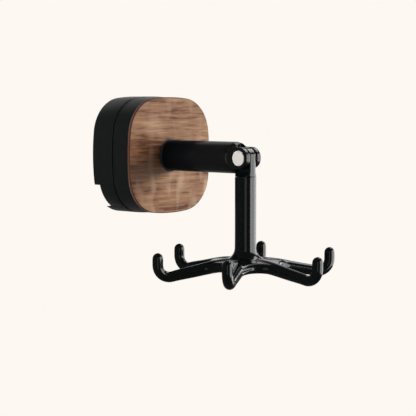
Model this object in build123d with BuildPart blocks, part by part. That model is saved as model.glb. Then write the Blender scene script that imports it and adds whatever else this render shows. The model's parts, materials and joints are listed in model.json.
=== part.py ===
from build123d import *
from math import acos, cos, degrees, radians, sin, sqrt, tan
import os

# A folding, turning hook with six arms on a rounded-square wall mount held by a locking suction cup.
# Lengths are in millimetres and angles in degrees. +Z is up, the wall is the plane Y = 0 and the hook
# reaches out towards -Y. A depth is a distance from the wall, so depth d lies at Y = -d.

# Fits and gaps
turn_gap = 0.08  # radial, round a shaft that turns
fixed_gap = 0.05  # radial, round a shaft that doesn't turn
face_gap = 0.15  # between flat faces that slide on each other
cup_gap = 0.3  # between the soft cup and what lies over it
overrun = 1.0  # how far a cut runs past what it cuts
tiny = 0.001  # for comparing places

# Rounded square
side = 75.0
side_arc = 135.0
corner_arc = 24.0
rear_step = 0.45  # the rear shell stands proud of the front one all round
shell_wall = 2.2
edge_break = 0.5  # chamfers that make the groove between the two shells

# Rear shell
rear_depth = 17.4
web_thick = 2.4
pad_thick = 1.6
pad_lip = 1.4  # round the hub screws' heads
ring_wall = 1.8
rib_thick = 1.6
stud_hole_gap = 0.5
notch_height = 14.45
notch_rise = 4.2  # the notch's lower wall stands this far above the shell's foot
notch_depth = 4.8

# Stop groove and the lug that runs in it
stop_radius = 1.9
stop_height = 1.0
stop_angle = 200.0  # where the lug rests when locked
lock_turn = 90.0

# Hub that the front half turns on
hub_neck_wall = 3.0  # outside the hub screws
hub_flange_thick = 2.3
hub_screw_circle = 10.5
hub_screw_count = 3

# Ring that runs behind the hub's flange
ring_plate_thick = 2.85
ring_plate_margin = 7.5  # from the outline's side to the ring's edge
ring_screw_margin = 4.5  # from the ring's edge to its screws
ring_screw_count = 4

# Screws: shank, head and head height of each kind
hub_screw = (1.5, 2.7, 1.9)
ring_screw = (1.25, 2.3, 1.2)
arm_screw_size = (2.5, 4.6, 3.0)
swivel_screw_size = (1.5, 2.75, 2.0)
screw_recess_gap = 0.2
hub_screw_grip = 4.0  # thread length in the hub
ring_screw_grip = 8.0
arm_screw_grip = 14.0
swivel_screw_grip = 7.0
socket_share = 0.55  # across the flats of a hex socket, as a share of its head's diameter
socket_depth_share = 0.6  # as a share of the head's height

# Suction cup and its stud
cup_margin = 7.5  # from the outline's side to the cup's rim
cup_side_gap = 0.6
cup_seal = 4.5  # width of the rim that lies on the wall
cup_rim_thick = 1.3
cup_hollow = 3.9  # how far the locked cup's middle stands off the wall
cup_skin = 1.2  # rubber under the stud's foot
foot_radius = 9.0
foot_thick = 1.4
boss_height = 1.2  # rubber over the stud's foot
stud_radius = 5.0
stud_flat_cut = 1.0
stud_show = 0.8  # how far the stud stands out of the nut
tab_width = 8.0
tab_thick = 1.0
tab_length = 5.2
tab_angle = 222.0

# Nut and thrust washer
nut_flats = 20.0
nut_thick = 5.0
thrust_radius = 9.0
thrust_thick = 0.6

# Front shell
shell_gap = 0.2
front_wall = 2.6
boss_wall = 2.2
screw_boss_radius = 3.2
rib_back = 1.85  # the ribs stop this far in front of the nut boss's rear end
head_room = 1.5  # between the nut and the arm screw's head

# Tape, wood and the ring under the arm
tape_thick = 0.2
tape_inset = 1.5
wood_thick = 1.6
wood_edge = 0.25
collar_step = 0.8  # the collar stands this far outside the arm
collar_thick = 1.7
collar_lip = 0.5

# Arm and fork
reach = 97.0  # depth of the fork's pin
arm_radius = 9.9
shoulder_back = 2.2  # the round bar ends this far behind the pin
shoulder_round = 5.4
ear_radius = 6.8
ear_thick = 3.8
flat_length = 8.4  # from where the flats start to the pin
slot_play = 0.35  # between the tongue's back and the slot's floor
washer_play = 0.1  # beside each washer and the tongue
spigot_step = 2.9  # the spigot is this much smaller in radius than the arm
spigot_flat_cut = 1.0
spigot_short = 0.2  # the spigot stops short of the wall's inner face, so that the screw clamps
arm_washer_lip = 1.4  # the washer reaches this far past the spigot
arm_washer_thick = 1.2

# Hinge pin
pin_radius = 2.5
head_radius = 4.7
head_thick = 1.2
head_proud = 0.3
head_edge = 0.2
head_ring_gap = 0.1
barrel_short = 0.6  # the barrel stops short of the screw's head, so that the heads clamp the ears
pin_screw_radius = 1.3
pin_screw_grip = 8.0
pin_washer_inset = 1.0  # the washers are this much smaller in radius than the ears
pin_washer_thick = 0.35

# Tongue and spigot
tongue_half = 2.75
tongue_radius = 6.5
tongue_drop = 1.7  # the tongue's round foot lies this far under the arm
tongue_lip = 0.35  # left round the foot under the flats
spigot_pin_radius = 3.0
spigot_pin_length = 16.4

# Stem and claw
stem_top_gap = 0.15
stem_edge = 0.35
stem_lip = 1.15  # round the bush's flange
bush_wall = 0.72
bush_flange_step = 1.6
bush_flange_thick = 0.8
land_step = 0.5  # the bore under the bush is this much larger in radius
land_play = 0.2  # the spigot reaches this far past the land, so that its screw doesn't clamp the stem
swivel_washer_thick = 0.8
flare_round = 7.3
foot_proud = 0.2  # the hub's foot lies this far under the arms' roots
hub_foot_wall = 3.0  # round the plug's head
plug_head_step = 1.7
plug_head_thick = 1.2
plug_length = 6.0
plug_wall = 1.2
plug_edge = 0.3
arm_count = 6
first_arm = 30.0  # one arm points straight at the wall and one straight out
arm_line = -66.05  # height of an arm's centre line near the hub
arm_slope = 10.8
knee_radius = 75.0
knee_place = 17.0
hook_bend = 7.4
tip_circle = 56.4
hook_height = 13.25  # from the hook's corner up to the middle of its round tip
tip_radius = 3.25
root_radius = 4.5
web_half = 3.05
web_arm_half = 3.2
web_round = 15.1
web_rim_flat = 0.15  # half of what the round edges leave of the web's rim
web_tail = 2.4  # how far the web runs out along each arm past its round crotches

# The outline's arcs
arc_span = side_arc - corner_arc
side_turn = degrees(acos((side_arc - side / 2) / (arc_span * sqrt(2)))) - 45
corner_centre = side / 2 - side_arc + arc_span * cos(radians(side_turn))
corner_reach = corner_centre * sqrt(2) + corner_arc

# Radii that follow
cup_radius = side / 2 - cup_margin
tab_reach = cup_radius + tab_length
ring_inner = cup_radius + cup_side_gap
ring_outer = ring_inner + ring_wall
ring_middle = ring_inner + ring_wall / 2
corner_middle = corner_reach - shell_wall / 2
pad_radius = hub_screw_circle + hub_screw[1] + pad_lip
hub_neck_radius = hub_screw_circle + hub_screw[0] + hub_neck_wall
ring_plate_radius = side / 2 - ring_plate_margin
ring_screw_circle = ring_plate_radius - ring_screw_margin
hub_flange_radius = (hub_neck_radius + ring_screw_circle - screw_boss_radius) / 2
stop_circle = (hub_neck_radius + ring_plate_radius) / 2
stud_flats = 2 * (stud_radius - stud_flat_cut)
hex_boss_radius = nut_flats / sqrt(3) + boss_wall
spigot_radius = arm_radius - spigot_step
spigot_flats = 2 * (spigot_radius - spigot_flat_cut)
arm_washer_radius = spigot_radius + arm_washer_lip
collar_radius = arm_radius + collar_step
pin_washer_radius = ear_radius - pin_washer_inset
bush_radius = spigot_pin_radius + turn_gap + bush_wall
bush_flange_radius = bush_radius + bush_flange_step
stem_radius = bush_flange_radius + fixed_gap + stem_lip
bore_radius = bush_radius + land_step
plug_head_radius = bore_radius + plug_head_step
flat_round = tongue_radius - tongue_half
hub_foot_radius = plug_head_radius + hub_foot_wall
arm_start = (bore_radius + stem_radius) / 2
web_reach = (web_arm_half + web_round) / tan(radians(180 / arm_count)) + web_tail

# Depths that follow, from the wall outwards
foot_depth = cup_hollow + cup_skin
boss_depth = foot_depth + foot_thick + boss_height
pad_depth = boss_depth + cup_gap
web_depth = pad_depth + pad_thick
web_front = web_depth + web_thick
ring_plate_rear = web_front + face_gap
ring_plate_front = ring_plate_rear + ring_plate_thick
flange_rear = ring_plate_front + face_gap
flange_front = flange_rear + hub_flange_thick
thrust_front = flange_front + thrust_thick
nut_rear = thrust_front + face_gap
nut_front = nut_rear + nut_thick
stud_end = nut_front + stud_show
arm_head_front = nut_front + head_room + arm_screw_size[2]
front_inside = arm_head_front + arm_washer_thick
front_face = front_inside + front_wall
front_rear = rear_depth + shell_gap
front_depth = front_face - front_rear
wood_rear = front_face + tape_thick
wood_front = wood_rear + wood_thick
arm_root = wood_front + collar_thick
spigot_end = front_inside + spigot_short
ring_lip = cup_rim_thick + cup_gap
shoulder_depth = reach - shoulder_back
flat_start = reach - flat_length
slot_floor = reach - tongue_radius - slot_play

# Half widths of the fork, and heights from the pin
slot_half = tongue_half + pin_washer_thick + washer_play
ear_half = slot_half + ear_thick
notch_foot = notch_rise - side / 2
notch_top = notch_foot + notch_height
tongue_foot = -arm_radius - tongue_drop
spigot_pin_foot = tongue_foot - spigot_pin_length
land_foot = spigot_pin_foot + land_play
stem_top = tongue_foot - stem_top_gap
hub_foot = arm_line - root_radius - foot_proud
plate_top = arm_line + web_half
fall = tan(radians(arm_slope))
knee_corner = arm_line - fall * (tip_circle - knee_place)
tip_height = knee_corner + hook_height

# Planes and axes
side_view = Plane((0, 0, 0), x_dir=(1, 0, 0), z_dir=(0, 0, -1))  # draws (radius, depth)
pin_centre = (0, -reach, 0)
pin_axis = Axis(pin_centre, (1, 0, 0))
stem_axis = Axis(pin_centre, (0, 0, 1))
stem_plane = Plane(pin_centre, x_dir=(1, 0, 0), z_dir=(0, -1, 0))  # draws (radius, height)
pin_plane = Plane(pin_centre, x_dir=(1, 0, 0), z_dir=(0, 0, 1))  # draws (X, radius)
fold_plane = Plane(pin_centre, x_dir=(0, -1, 0), z_dir=(-1, 0, 0))  # draws (outwards, height)


def facing_out(depth):
    """The plane at a depth that faces the room: X to the right, Z up."""
    return Plane.XZ.offset(depth)


def facing_wall(depth):
    """The plane at a depth that faces the wall."""
    return Plane((0, -depth, 0), x_dir=(1, 0, 0), z_dir=(0, 1, 0))


def level(height):
    """The level plane through the stem's axis at a height."""
    return Plane((0, -reach, height), x_dir=(1, 0, 0), z_dir=(0, 0, 1))


def rounded_square(grow):
    """Draw the mount's outline, offset by grow: wide arcs for sides, tight ones for corners, all tangent."""
    for quarter in range(4):
        turn = 90 * quarter
        middle = Vector(side / 2 - side_arc, 0).rotate(Axis.Z, turn)
        corner = Vector(corner_centre, corner_centre).rotate(Axis.Z, turn)
        CenterArc(middle, side_arc + grow, turn - side_turn, 2 * side_turn)
        CenterArc(corner, corner_arc + grow, turn + side_turn, 90 - 2 * side_turn)


def socket_screw(name, size, grip, places, head_plane):
    """Make one hex socket screw at each place: its head stands on the plane, its shank goes into it."""
    shank_radius, head_radius, head_height = size
    socket = head_radius * socket_share
    with BuildPart() as screws:
        with Locations(head_plane):
            with Locations(*places):
                Cylinder(head_radius, head_height, align=(Align.CENTER, Align.CENTER, Align.MIN))
                Cylinder(shank_radius, grip, align=(Align.CENTER, Align.CENTER, Align.MAX))
        with BuildSketch(head_plane.offset(head_height)):
            with Locations(*places):
                RegularPolygon(socket, 6, major_radius=False)
        extrude(amount=-head_height * socket_depth_share, mode=Mode.SUBTRACT)
    finish(screws, name)


def finish(piece, name):
    """Label a finished piece and write its file."""
    piece.part.label = name
    export_step(piece.part, f"parts/{name}.step")


def circle_places(circle, count, start):
    """Places evenly spaced on a circle, in the plane that they are used on."""
    return [
        (circle * cos(radians(start + 360 * i / count)), circle * sin(radians(start + 360 * i / count)))
        for i in range(count)
    ]


os.makedirs("parts", exist_ok=True)
hub_screw_places = circle_places(hub_screw_circle, hub_screw_count, 90)
ring_screw_places = circle_places(ring_screw_circle, ring_screw_count, 45)

# Rear shell: skirt, web, pressing ring, screw pad and corner ribs
with BuildPart() as rear_housing:
    with BuildSketch(facing_out(0)):
        with BuildLine():
            rounded_square(rear_step)
        make_face()
    extrude(amount=rear_depth)
    chamfer(rear_housing.edges().group_by(Axis.Y)[0], edge_break)
    with BuildSketch(facing_out(0)):
        with BuildLine():
            rounded_square(rear_step - shell_wall)
        make_face()
    extrude(amount=web_depth, mode=Mode.SUBTRACT)
    with BuildSketch(facing_out(web_front)):
        with BuildLine():
            rounded_square(rear_step - shell_wall)
        make_face()
    extrude(amount=rear_depth - web_front + overrun, mode=Mode.SUBTRACT)
    with BuildSketch(facing_out(ring_lip)):
        Circle(ring_outer)
        Circle(ring_inner, mode=Mode.SUBTRACT)
    extrude(amount=web_depth - ring_lip)
    with BuildSketch(facing_out(pad_depth)):
        Circle(pad_radius)
    extrude(amount=web_depth - pad_depth)
    with BuildSketch(facing_out(notch_depth + rib_thick)):
        with PolarLocations((ring_middle + corner_middle) / 2, 4, start_angle=45):
            Rectangle(corner_middle - ring_middle, rib_thick)
    extrude(amount=web_depth - notch_depth - rib_thick)
    with BuildSketch(facing_out(pad_depth)):
        Circle(stud_radius + stud_hole_gap)
    extrude(amount=web_front - pad_depth, mode=Mode.SUBTRACT)
    with Locations(facing_wall(pad_depth)):
        with Locations(*hub_screw_places):
            CounterBoreHole(
                hub_screw[0] + fixed_gap,
                hub_screw[1] + screw_recess_gap,
                hub_screw[2] + screw_recess_gap,
                web_front - pad_depth,
            )
    with BuildSketch(facing_out(web_front)):
        with BuildLine():
            groove_half = stop_radius + face_gap
            CenterArc((0, 0), stop_circle + groove_half, stop_angle, lock_turn)
            CenterArc((0, 0), stop_circle - groove_half, stop_angle, lock_turn)
            CenterArc(Vector(stop_circle, 0).rotate(Axis.Z, stop_angle), groove_half, stop_angle + 180, 180)
            CenterArc(
                Vector(stop_circle, 0).rotate(Axis.Z, stop_angle + lock_turn),
                groove_half,
                stop_angle + lock_turn,
                180,
            )
        make_face()
    extrude(amount=stop_height + face_gap, dir=(0, 1, 0), mode=Mode.SUBTRACT)
    with BuildSketch(facing_out(0)):
        with Locations((-side / 2, (notch_top + notch_foot) / 2)):
            Rectangle(side / 2, notch_top - notch_foot)
        Circle(ring_outer, mode=Mode.SUBTRACT)
    extrude(amount=notch_depth, mode=Mode.SUBTRACT)
finish(rear_housing, "rear_housing")

# Hub: neck and flange, keyed for the stud's flats, with pilot holes from the wall side
with BuildPart() as hub_retainer:
    with BuildSketch(facing_out(web_front)):
        Circle(hub_neck_radius)
    extrude(amount=flange_rear - web_front)
    with BuildSketch(facing_out(flange_rear)):
        Circle(hub_flange_radius)
    extrude(amount=hub_flange_thick)
    with BuildSketch(facing_out(web_front)):
        Circle(stud_radius + turn_gap)
        Rectangle(stud_flats + 2 * turn_gap, side, mode=Mode.INTERSECT)
    extrude(amount=flange_front - web_front, mode=Mode.SUBTRACT)
    with Locations(facing_wall(web_front)):
        with Locations(*hub_screw_places):
            Hole(hub_screw[0] + fixed_gap, hub_screw_grip + fixed_gap)
finish(hub_retainer, "hub_retainer")

hub_head_rear = pad_depth + screw_recess_gap + hub_screw[2]
socket_screw(
    "hub_screws",
    hub_screw,
    web_front - hub_head_rear + hub_screw_grip,
    hub_screw_places,
    facing_wall(hub_head_rear),
)

with BuildPart() as thrust_washer:
    with BuildSketch(facing_out(flange_front)):
        Circle(thrust_radius)
        Circle(stud_radius + turn_gap, mode=Mode.SUBTRACT)
    extrude(amount=thrust_thick)
finish(thrust_washer, "thrust_washer")

# Suction cup, drawn up as it is when locked, moulded round the stud's foot, with its pull tab
with BuildPart() as suction_cup:
    with BuildSketch(side_view):
        with BuildLine():
            Line((0, cup_hollow), (0, foot_depth))
            Line((0, foot_depth), (foot_radius, foot_depth))
            Line((foot_radius, foot_depth), (foot_radius, foot_depth + foot_thick))
            Line((foot_radius, foot_depth + foot_thick), (stud_radius, foot_depth + foot_thick))
            Line((stud_radius, foot_depth + foot_thick), (stud_radius, boss_depth))
            Line((stud_radius, boss_depth), (foot_radius, boss_depth))
            ThreePointArc(
                (foot_radius, boss_depth),
                ((foot_radius + cup_radius) / 2, foot_depth),
                (cup_radius, cup_rim_thick),
            )
            Line((cup_radius, cup_rim_thick), (cup_radius, 0))
            Line((cup_radius, 0), (cup_radius - cup_seal, 0))
            TangentArc((0, cup_hollow), (cup_radius - cup_seal, 0), tangent=(1, 0))
        make_face()
    revolve(axis=Axis.Y)
    with BuildSketch(facing_out(0)):
        with PolarLocations((cup_radius + tab_reach) / 2 - cup_rim_thick, 1, start_angle=tab_angle):
            Rectangle(tab_reach - cup_radius + 2 * cup_rim_thick, tab_width)
        Circle(cup_radius - cup_rim_thick, mode=Mode.SUBTRACT)
        Circle(tab_reach, mode=Mode.INTERSECT)
    extrude(amount=tab_thick)
finish(suction_cup, "suction_cup")

# Stud: the foot in the rubber and a shank with two flats
with BuildPart() as cup_stud:
    with BuildSketch(facing_out(foot_depth)):
        Circle(foot_radius)
    extrude(amount=foot_thick)
    with BuildSketch(facing_out(foot_depth + foot_thick)):
        Circle(stud_radius)
    extrude(amount=boss_depth - foot_depth - foot_thick)
    with BuildSketch(facing_out(boss_depth)):
        Circle(stud_radius)
        Rectangle(stud_flats, side, mode=Mode.INTERSECT)
    extrude(amount=stud_end - boss_depth)
    chamfer(cup_stud.edges().group_by(Axis.Y)[0], edge_break)
finish(cup_stud, "cup_stud")

# Front shell: skirt, front wall with a keyed hole, nut boss, screw bosses and ribs
with BuildPart() as front_housing:
    with BuildSketch(facing_out(front_rear)):
        with BuildLine():
            rounded_square(0)
        make_face()
    extrude(amount=front_depth)
    chamfer(front_housing.edges().group_by(Axis.Y)[-1], edge_break)
    with BuildSketch(facing_out(front_rear)):
        with BuildLine():
            rounded_square(-shell_wall)
        make_face()
    extrude(amount=front_depth - front_wall, mode=Mode.SUBTRACT)
    with BuildSketch(facing_out(front_inside)):
        with PolarLocations(corner_middle / 2, 4, start_angle=45):
            Rectangle(corner_middle, rib_thick)
    extrude(amount=thrust_front + rib_back - front_inside)
    with BuildSketch(facing_out(front_inside)):
        with Locations(*ring_screw_places):
            Circle(screw_boss_radius)
    extrude(amount=ring_plate_front - front_inside)
    with BuildSketch(facing_out(front_inside)):
        Circle(hex_boss_radius)
    extrude(amount=thrust_front - front_inside)
    with BuildSketch(facing_out(thrust_front)):
        RegularPolygon(nut_flats / 2 + fixed_gap, 6, major_radius=False)
    extrude(amount=nut_front + fixed_gap - thrust_front, mode=Mode.SUBTRACT)
    with BuildSketch(facing_out(nut_front)):
        Circle(arm_washer_radius + screw_recess_gap)
    extrude(amount=front_inside - nut_front, mode=Mode.SUBTRACT)
    with BuildSketch(facing_out(front_inside)):
        Circle(spigot_radius + fixed_gap)
        Rectangle(spigot_flats + 2 * fixed_gap, side, mode=Mode.INTERSECT)
    extrude(amount=front_wall, mode=Mode.SUBTRACT)
    with Locations(facing_wall(ring_plate_front)):
        with Locations(*ring_screw_places):
            Hole(ring_screw[0] + fixed_gap, ring_screw_grip + fixed_gap)
finish(front_housing, "front_housing")

# Ring behind the hub's flange, with sunk screw heads and the stop lug
with BuildPart() as carrier_plate:
    with BuildSketch(facing_out(ring_plate_rear)):
        Circle(ring_plate_radius)
        Circle(hub_neck_radius + turn_gap, mode=Mode.SUBTRACT)
    extrude(amount=ring_plate_thick)
    with BuildSketch(facing_out(ring_plate_rear)):
        with PolarLocations(stop_circle, 1, start_angle=stop_angle):
            Circle(stop_radius)
    extrude(amount=-stop_height)
    with Locations(facing_wall(ring_plate_rear)):
        with Locations(*ring_screw_places):
            CounterBoreHole(
                ring_screw[0] + fixed_gap,
                ring_screw[1] + screw_recess_gap,
                ring_screw[2] + screw_recess_gap,
                ring_plate_thick,
            )
finish(carrier_plate, "carrier_plate")

ring_head_rear = ring_plate_rear + screw_recess_gap + ring_screw[2]
socket_screw(
    "carrier_screws",
    ring_screw,
    ring_plate_front - ring_head_rear + ring_screw_grip,
    ring_screw_places,
    facing_wall(ring_head_rear),
)

with BuildPart() as lock_nut:
    with BuildSketch(facing_out(nut_rear)):
        RegularPolygon(nut_flats / 2, 6, major_radius=False)
        Circle(stud_radius + turn_gap, mode=Mode.SUBTRACT)
    extrude(amount=nut_thick)
finish(lock_nut, "lock_nut")

# Tape, wooden face and the ring that the arm stands on
with BuildPart() as adhesive_sheet:
    with BuildSketch(facing_out(front_face)):
        with BuildLine():
            rounded_square(-tape_inset)
        make_face()
        Circle(spigot_radius + tape_inset, mode=Mode.SUBTRACT)
    extrude(amount=tape_thick)
finish(adhesive_sheet, "adhesive_sheet")

with BuildPart() as wood_face:
    with BuildSketch(facing_out(wood_rear)):
        with BuildLine():
            rounded_square(0)
        make_face()
    extrude(amount=wood_thick)
    chamfer(wood_face.edges().group_by(Axis.Y)[0], wood_edge)
    with BuildSketch(facing_out(wood_rear)):
        Circle(spigot_radius + fixed_gap)
    extrude(amount=wood_thick, mode=Mode.SUBTRACT)
finish(wood_face, "wood_face")

with BuildPart() as arm_collar:
    with BuildSketch(side_view):
        with BuildLine():
            Line((spigot_radius + fixed_gap, wood_front), (collar_radius, wood_front))
            Line((collar_radius, wood_front), (collar_radius, wood_front + collar_lip))
            TangentArc(
                (arm_radius, arm_root), (collar_radius, wood_front + collar_lip), tangent=(0, -1)
            )
            Line((arm_radius, arm_root), (spigot_radius + fixed_gap, arm_root))
            Line((spigot_radius + fixed_gap, arm_root), (spigot_radius + fixed_gap, wood_front))
        make_face()
    revolve(axis=Axis.Y)
finish(arm_collar, "arm_collar")

# Arm: a round bar with a rounded end, a keyed spigot for the front wall, and a fork
with BuildPart() as arm:
    with BuildSketch(side_view):
        with BuildLine():
            Line((0, arm_root), (arm_radius, arm_root))
            Line((arm_radius, arm_root), (arm_radius, shoulder_depth - shoulder_round))
            TangentArc(
                (arm_radius, shoulder_depth - shoulder_round),
                (arm_radius - shoulder_round, shoulder_depth),
                tangent=(0, 1),
            )
            Line((arm_radius - shoulder_round, shoulder_depth), (0, shoulder_depth))
            Line((0, shoulder_depth), (0, arm_root))
        make_face()
    revolve(axis=Axis.Y)
    with BuildSketch(fold_plane):
        Circle(ear_radius)
        with Locations((flat_start - reach, 0)):
            Rectangle(reach - flat_start, 2 * ear_radius, align=(Align.MIN, Align.CENTER))
    extrude(amount=ear_half, both=True)
    for outer in (-1, 1):
        with BuildSketch(Plane(pin_centre, x_dir=(0, -outer, 0), z_dir=(outer, 0, 0)).offset(ear_half)):
            with Locations((outer * (flat_start - reach), 0)):
                Rectangle(
                    reach - flat_start + ear_radius + overrun,
                    2 * arm_radius,
                    align=(Align.MIN if outer > 0 else Align.MAX, Align.CENTER),
                )
        extrude(amount=arm_radius - ear_half + overrun, mode=Mode.SUBTRACT)
    with BuildSketch(fold_plane):
        with Locations((slot_floor - reach, 0)):
            Rectangle(
                reach - slot_floor + ear_radius + overrun,
                2 * arm_radius + overrun,
                align=(Align.MIN, Align.CENTER),
            )
    extrude(amount=slot_half, both=True, mode=Mode.SUBTRACT)
    with BuildSketch(facing_out(arm_root)):
        Circle(spigot_radius)
        Rectangle(spigot_flats, side, mode=Mode.INTERSECT)
    extrude(amount=spigot_end - arm_root)
    with Locations(facing_wall(spigot_end)):
        Hole(arm_screw_size[0] + fixed_gap, arm_screw_grip)
    with BuildSketch(pin_plane.rotated((0, 90, 0))):
        Circle(pin_radius + fixed_gap)
    extrude(amount=ear_half + overrun, both=True, mode=Mode.SUBTRACT)
    for outer in (-1, 1):
        with BuildSketch(Plane(pin_centre, x_dir=(0, 1, 0), z_dir=(outer, 0, 0)).offset(ear_half)):
            Circle(head_radius + head_ring_gap)
        extrude(amount=head_proud - head_thick, mode=Mode.SUBTRACT)
finish(arm, "arm")

with BuildPart() as arm_washer:
    with BuildSketch(facing_out(arm_head_front)):
        Circle(arm_washer_radius)
        Circle(arm_screw_size[0] + fixed_gap, mode=Mode.SUBTRACT)
    extrude(amount=arm_washer_thick)
finish(arm_washer, "arm_washer")
socket_screw("arm_screw", arm_screw_size, arm_screw_grip, [(0, 0)], facing_wall(arm_head_front))

# Hinge pin in two halves: a headed barrel from the left ear, a headed screw from the right one
head_seat = ear_half + head_proud - head_thick
with BuildPart() as pivot_barrel:
    with BuildSketch(pin_plane):
        with BuildLine():
            Polyline(
                (-ear_half - head_proud, 0),
                (-ear_half - head_proud, head_radius - head_edge),
                (-ear_half - head_proud + head_edge, head_radius),
                (-head_seat, head_radius),
                (-head_seat, pin_radius),
                (head_seat - barrel_short, pin_radius),
                (head_seat - barrel_short, 0),
                close=True,
            )
        make_face()
    revolve(axis=pin_axis)
    with BuildSketch(Plane(pin_centre, x_dir=(0, 1, 0), z_dir=(1, 0, 0)).offset(head_seat - barrel_short)):
        Circle(pin_screw_radius + fixed_gap)
    extrude(amount=-pin_screw_grip - fixed_gap, mode=Mode.SUBTRACT)
finish(pivot_barrel, "pivot_barrel")

with BuildPart() as pivot_screw:
    with BuildSketch(pin_plane):
        with BuildLine():
            Polyline(
                (ear_half + head_proud, 0),
                (ear_half + head_proud, head_radius - head_edge),
                (ear_half + head_proud - head_edge, head_radius),
                (head_seat, head_radius),
                (head_seat, pin_screw_radius),
                (head_seat - barrel_short - pin_screw_grip, pin_screw_radius),
                (head_seat - barrel_short - pin_screw_grip, 0),
                close=True,
            )
        make_face()
    revolve(axis=pin_axis)
    with BuildSketch(Plane(pin_centre, x_dir=(0, 1, 0), z_dir=(1, 0, 0)).offset(ear_half + head_proud)):
        RegularPolygon(pin_screw_radius, 6, major_radius=False)
    extrude(amount=-head_thick * socket_depth_share, mode=Mode.SUBTRACT)
finish(pivot_screw, "pivot_screw")

with BuildPart() as pivot_washers:
    for outer in (-1, 1):
        with BuildSketch(Plane(pin_centre, x_dir=(0, 1, 0), z_dir=(outer, 0, 0)).offset(slot_half)):
            Circle(pin_washer_radius)
            Circle(pin_radius + fixed_gap, mode=Mode.SUBTRACT)
        extrude(amount=-pin_washer_thick)
finish(pivot_washers, "pivot_washers")

# Tongue: a bar rounded over the pin, with two flats that run out round, and a spigot into the stem
with BuildPart() as swivel_head:
    with BuildSketch(fold_plane):
        Circle(tongue_radius)
        Rectangle(2 * tongue_radius, -tongue_foot, align=(Align.CENTER, Align.MAX))
    extrude(amount=tongue_radius, both=True)
    with BuildSketch(level(tongue_foot)):
        Circle(tongue_radius)
    extrude(amount=tongue_radius - tongue_foot, mode=Mode.INTERSECT)
    with BuildSketch(facing_out(reach)):
        for outer in (-1, 1):
            with BuildLine():
                Line((outer * tongue_radius, tongue_foot + tongue_lip), (outer * tongue_radius, tongue_radius))
                Line((outer * tongue_radius, tongue_radius), (outer * tongue_half, tongue_radius))
                Line(
                    (outer * tongue_half, tongue_radius),
                    (outer * tongue_half, tongue_foot + tongue_lip + flat_round),
                )
                TangentArc(
                    (outer * tongue_half, tongue_foot + tongue_lip + flat_round),
                    (outer * tongue_radius, tongue_foot + tongue_lip),
                    tangent=(0, -1),
                )
            make_face()
    extrude(amount=tongue_radius, both=True, mode=Mode.SUBTRACT)
    with BuildSketch(level(tongue_foot)):
        Circle(spigot_pin_radius)
    extrude(amount=spigot_pin_foot - tongue_foot)
    with BuildSketch(pin_plane.rotated((0, 90, 0))):
        Circle(pin_radius + turn_gap)
    extrude(amount=tongue_half + overrun, both=True, mode=Mode.SUBTRACT)
    with BuildSketch(level(spigot_pin_foot)):
        Circle(swivel_screw_size[0] + fixed_gap)
    extrude(amount=swivel_screw_grip + fixed_gap, mode=Mode.SUBTRACT)
finish(swivel_head, "swivel_head")

washer_foot = spigot_pin_foot - swivel_washer_thick
with BuildPart() as swivel_washer:
    with BuildSketch(level(washer_foot)):
        Circle(bore_radius - turn_gap)
        Circle(swivel_screw_size[0] + fixed_gap, mode=Mode.SUBTRACT)
    extrude(amount=swivel_washer_thick)
finish(swivel_washer, "swivel_washer")
swivel_head_plane = Plane((0, -reach, washer_foot), x_dir=(1, 0, 0), z_dir=(0, 0, -1))
socket_screw(
    "swivel_screw",
    swivel_screw_size,
    swivel_screw_grip + swivel_washer_thick,
    [(0, 0)],
    swivel_head_plane,
)

# Bush: a flanged sleeve pressed into the top of the stem
with BuildPart() as swivel_bush:
    with BuildSketch(stem_plane):
        with BuildLine():
            Polyline(
                (spigot_pin_radius + turn_gap, stem_top),
                (bush_flange_radius, stem_top),
                (bush_flange_radius, stem_top - bush_flange_thick),
                (bush_radius, stem_top - bush_flange_thick),
                (bush_radius, land_foot),
                (spigot_pin_radius + turn_gap, land_foot),
                close=True,
            )
        make_face()
    revolve(axis=stem_axis)
finish(swivel_bush, "swivel_bush")

# One arm of the claw, along +X from the stem's axis: a tapered bar, the upturned hook and its round tip
with BuildPart() as claw_arm:
    with BuildLine(Plane.XZ) as arm_path:
        FilletPolyline(
            (arm_start, arm_line),
            (knee_place, arm_line),
            (tip_circle, knee_corner),
            (tip_circle, tip_height),
            radius=[knee_radius, hook_bend],
        )
    root_run, knee, slope_run, bend, tip_run = arm_path.wires()[0].order_edges()
    taper_end = (slope_run @ 1).X
    for station in (root_run ^ 0, knee ^ 0, knee ^ 0.5, knee ^ 1, slope_run ^ 0.5, slope_run ^ 1):
        with BuildSketch(Plane(station)):
            Circle(root_radius + (tip_radius - root_radius) * station.position.X / taper_end)
    loft()
    with BuildSketch(Plane(bend ^ 0)):
        Circle(tip_radius)
    sweep(path=Wire([bend, tip_run]))
    with Locations(tip_run @ 1):
        Sphere(tip_radius)

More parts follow.
